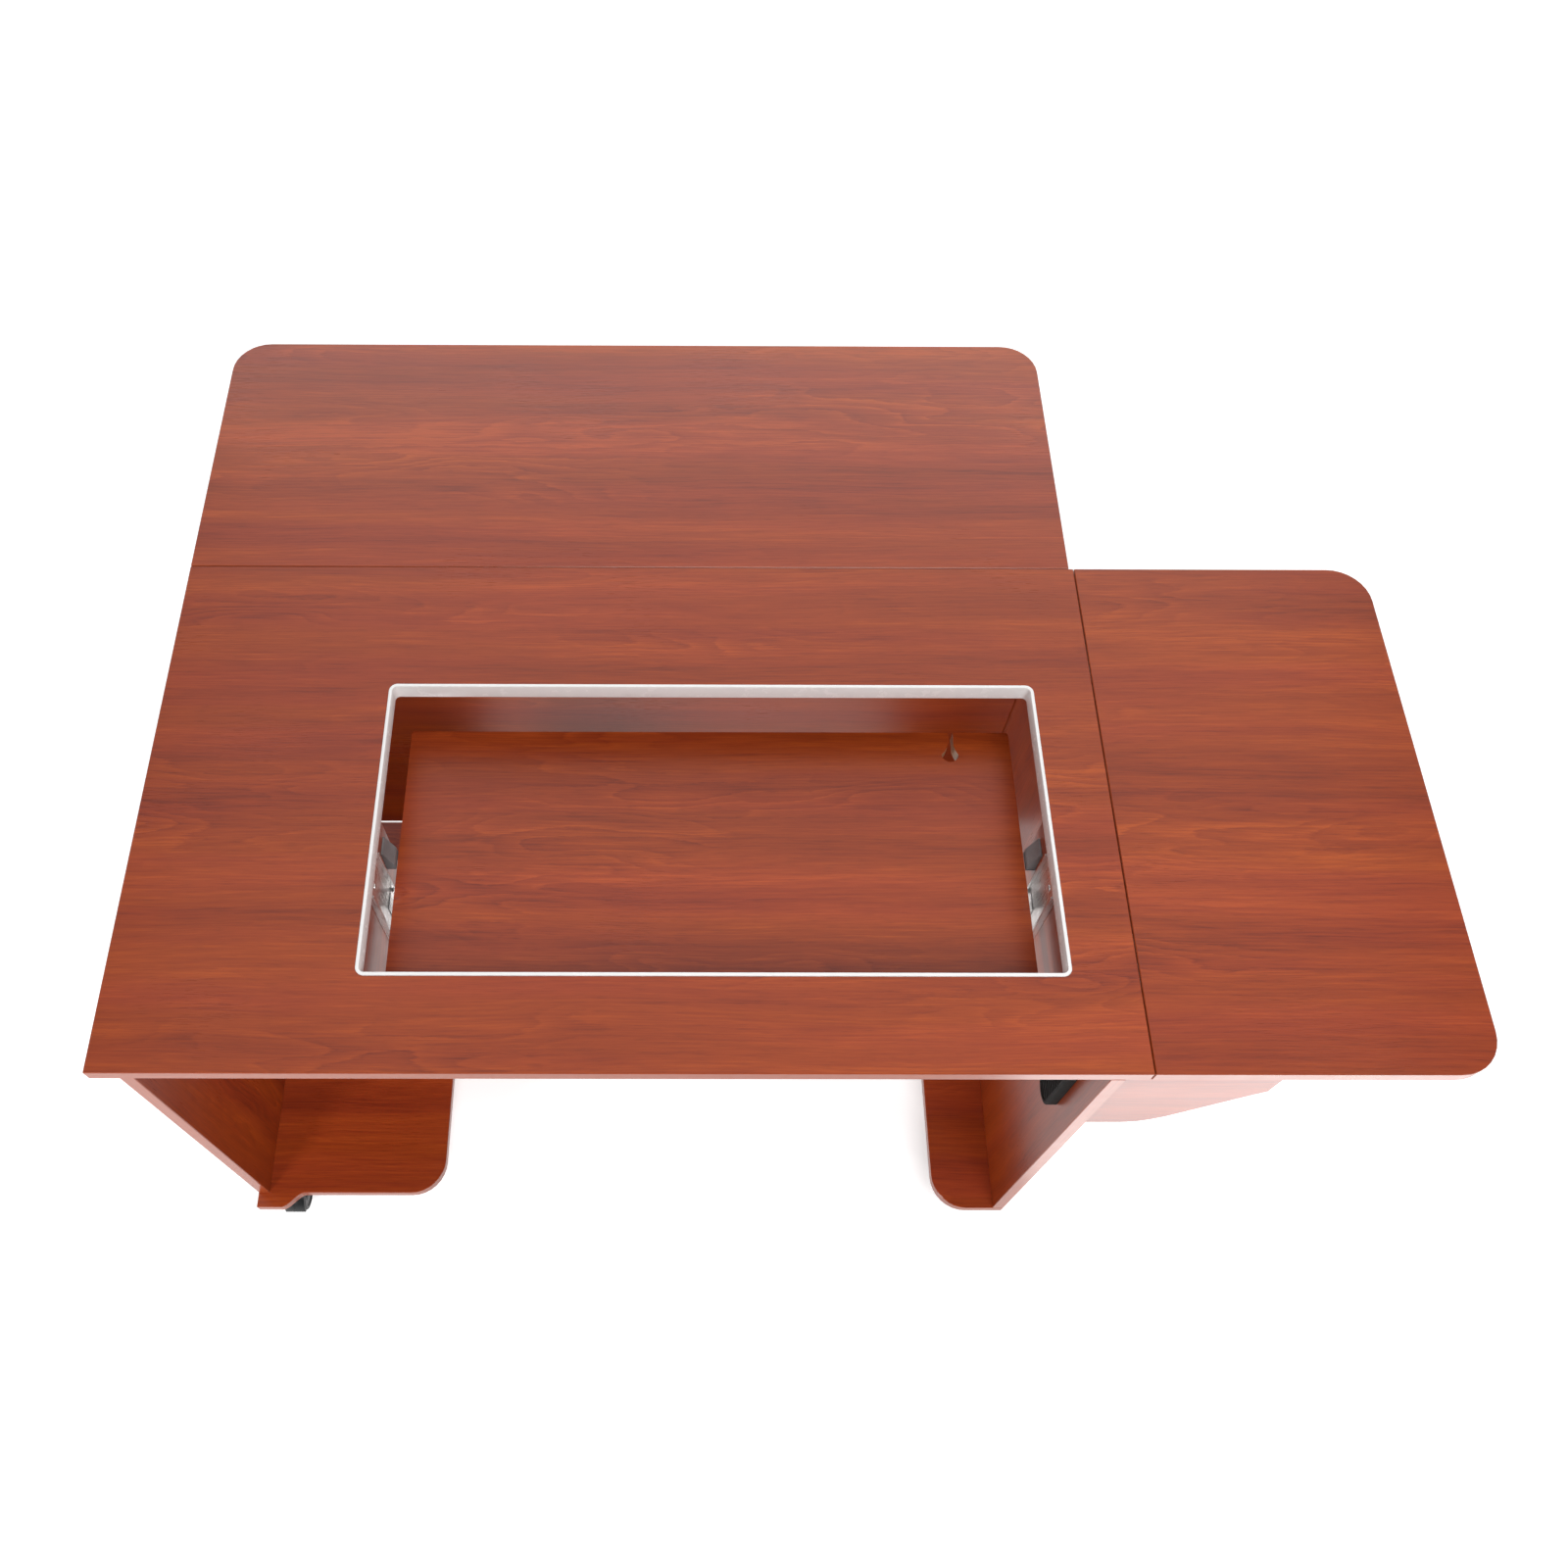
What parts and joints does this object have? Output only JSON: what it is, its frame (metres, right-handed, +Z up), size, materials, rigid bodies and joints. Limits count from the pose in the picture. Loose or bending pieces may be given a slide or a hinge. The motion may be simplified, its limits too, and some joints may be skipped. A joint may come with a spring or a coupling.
{
  "type": "sewing table",
  "caption": "Sewing table on casters with a machine opening, a lift platform, a fold-down rear leaf and a fold-over side leaf on a swing-out support.",
  "frame": {"origin": "on the floor, under the middle of the table with both leaves open", "axes": "+X to the side leaf, +Y to the rear leaf, +Z up"},
  "size_m": [1.4876, 1.043, 0.7412],
  "materials": {
    "cherry_laminate": "satin",
    "white_trim": "satin",
    "zinc_steel": "satin",
    "grey_plastic": "matte",
    "chrome_rod": "polished",
    "black_plastic": "satin",
    "caster_tread": "satin",
    "rubber_pad": "matte"
  },
  "bodies": {
    "cabinet": {"main_top": "cherry_laminate", "left_side_panel": "cherry_laminate", "right_side_panel": "cherry_laminate", "back_panel": "cherry_laminate", "left_base_board": "cherry_laminate", "right_foot_board": "cherry_laminate", "well_left_cheek": "cherry_laminate", "well_right_cheek": "cherry_laminate", "well_front_rail": "cherry_laminate", "opening_trim": "white_trim", "lift_rail_left": "zinc_steel", "gas_clamp_left": "zinc_steel", "lift_rail_right": "zinc_steel", "gas_clamp_right": "zinc_steel", "side_hinge_front_top_half": "zinc_steel", "side_hinge_rear_top_half": "zinc_steel", "rear_hinge_left_top_half": "zinc_steel", "rear_hinge_middle_top_half": "zinc_steel", "rear_hinge_right_top_half": "zinc_steel", "support_hinge_panel_half": "zinc_steel", "lift_stop_left": "grey_plastic", "lift_stop_right": "grey_plastic", "cable_port_cover": "black_plastic", "gas_cylinder_left": "black_plastic", "gas_cylinder_right": "black_plastic", "caster_plate_front_left": "black_plastic", "caster_plate_rear_left": "black_plastic", "caster_plate_front_right": "black_plastic", "caster_plate_rear_right": "black_plastic"},
    "rear_leaf_body": {"rear_leaf": "cherry_laminate", "rear_hinge_left_leaf_half": "zinc_steel", "rear_hinge_middle_leaf_half": "zinc_steel", "rear_hinge_right_leaf_half": "zinc_steel"},
    "side_leaf_body": {"side_leaf": "cherry_laminate", "side_hinge_front_leaf_half": "zinc_steel", "side_hinge_rear_leaf_half": "zinc_steel"},
    "support_body": {"side_support_board": "cherry_laminate", "support_bumper": "rubber_pad", "support_hinge_board_half": "zinc_steel"},
    "platform_body": {"lift_platform": "cherry_laminate", "lift_carriage_left": "zinc_steel", "lift_carriage_right": "zinc_steel", "gas_rod_left": "chrome_rod", "gas_rod_right": "chrome_rod"},
    "caster_front_left": {"caster_housing_front_left": "black_plastic"},
    "wheels_front_left": {"caster_wheels_front_left": "caster_tread"},
    "caster_rear_left": {"caster_housing_rear_left": "black_plastic"},
    "wheels_rear_left": {"caster_wheels_rear_left": "caster_tread"},
    "caster_front_right": {"caster_housing_front_right": "black_plastic"},
    "wheels_front_right": {"caster_wheels_front_right": "caster_tread"},
    "caster_rear_right": {"caster_housing_rear_right": "black_plastic"},
    "wheels_rear_right": {"caster_wheels_rear_right": "caster_tread"},
    "pedal_rear_left": {"brake_pedal_rear_left": "grey_plastic"},
    "pedal_front_right": {"brake_pedal_front_right": "grey_plastic"}
  },
  "joints": [
    {"name": "rear_leaf_fold", "type": "hinge", "parent": "cabinet", "child": "rear_leaf_body", "pos_m": [-0.18485, 0.1348, 0.7157], "axis": [-1, 0, 0], "range_deg": [0, 90]},
    {"name": "side_leaf_fold", "type": "hinge", "parent": "cabinet", "child": "side_leaf_body", "pos_m": [0.37475, -0.1935, 0.7409], "axis": [0, -1, 0], "range_deg": [0, 180]},
    {"name": "support_swing", "type": "hinge", "parent": "cabinet", "child": "support_body", "pos_m": [0.35245, -0.4722, 0.58], "axis": [0, 0, 1], "range_deg": [0, 90]},
    {"name": "lift_travel", "type": "slide", "parent": "cabinet", "child": "platform_body", "axis": [0, 0, 1], "range_m": [-0.14, 0.098]},
    {"name": "caster_swivel_front_left", "type": "hinge", "parent": "cabinet", "child": "caster_front_left", "pos_m": [-0.69585, -0.4715, 0.04], "axis": [0, 0, 1], "continuous": true},
    {"name": "wheel_roll_front_left", "type": "hinge", "parent": "caster_front_left", "child": "wheels_front_left", "pos_m": [-0.69585, -0.4895, 0.025], "axis": [1, 0, 0], "continuous": true},
    {"name": "caster_swivel_rear_left", "type": "hinge", "parent": "cabinet", "child": "caster_rear_left", "pos_m": [-0.69585, 0.0485, 0.04], "axis": [0, 0, 1], "continuous": true},
    {"name": "wheel_roll_rear_left", "type": "hinge", "parent": "caster_rear_left", "child": "wheels_rear_left", "pos_m": [-0.69585, 0.0665, 0.025], "axis": [1, 0, 0], "continuous": true},
    {"name": "brake_pedal_rear_left", "type": "hinge", "parent": "caster_rear_left", "child": "pedal_rear_left", "pos_m": [-0.69585, 0.0963, 0.03], "axis": [1, 0, 0], "range_deg": [0, 18]},
    {"name": "caster_swivel_front_right", "type": "hinge", "parent": "cabinet", "child": "caster_front_right", "pos_m": [0.29615, -0.4615, 0.04], "axis": [0, 0, 1], "continuous": true},
    {"name": "wheel_roll_front_right", "type": "hinge", "parent": "caster_front_right", "child": "wheels_front_right", "pos_m": [0.29615, -0.4435, 0.025], "axis": [1, 0, 0], "continuous": true},
    {"name": "brake_pedal_front_right", "type": "hinge", "parent": "caster_front_right", "child": "pedal_front_right", "pos_m": [0.29615, -0.4137, 0.03], "axis": [1, 0, 0], "range_deg": [0, 18]},
    {"name": "caster_swivel_rear_right", "type": "hinge", "parent": "cabinet", "child": "caster_rear_right", "pos_m": [0.29615, 0.0485, 0.04], "axis": [0, 0, 1], "continuous": true},
    {"name": "wheel_roll_rear_right", "type": "hinge", "parent": "caster_rear_right", "child": "wheels_rear_right", "pos_m": [0.29615, 0.0665, 0.025], "axis": [1, 0, 0], "continuous": true}
  ]
}
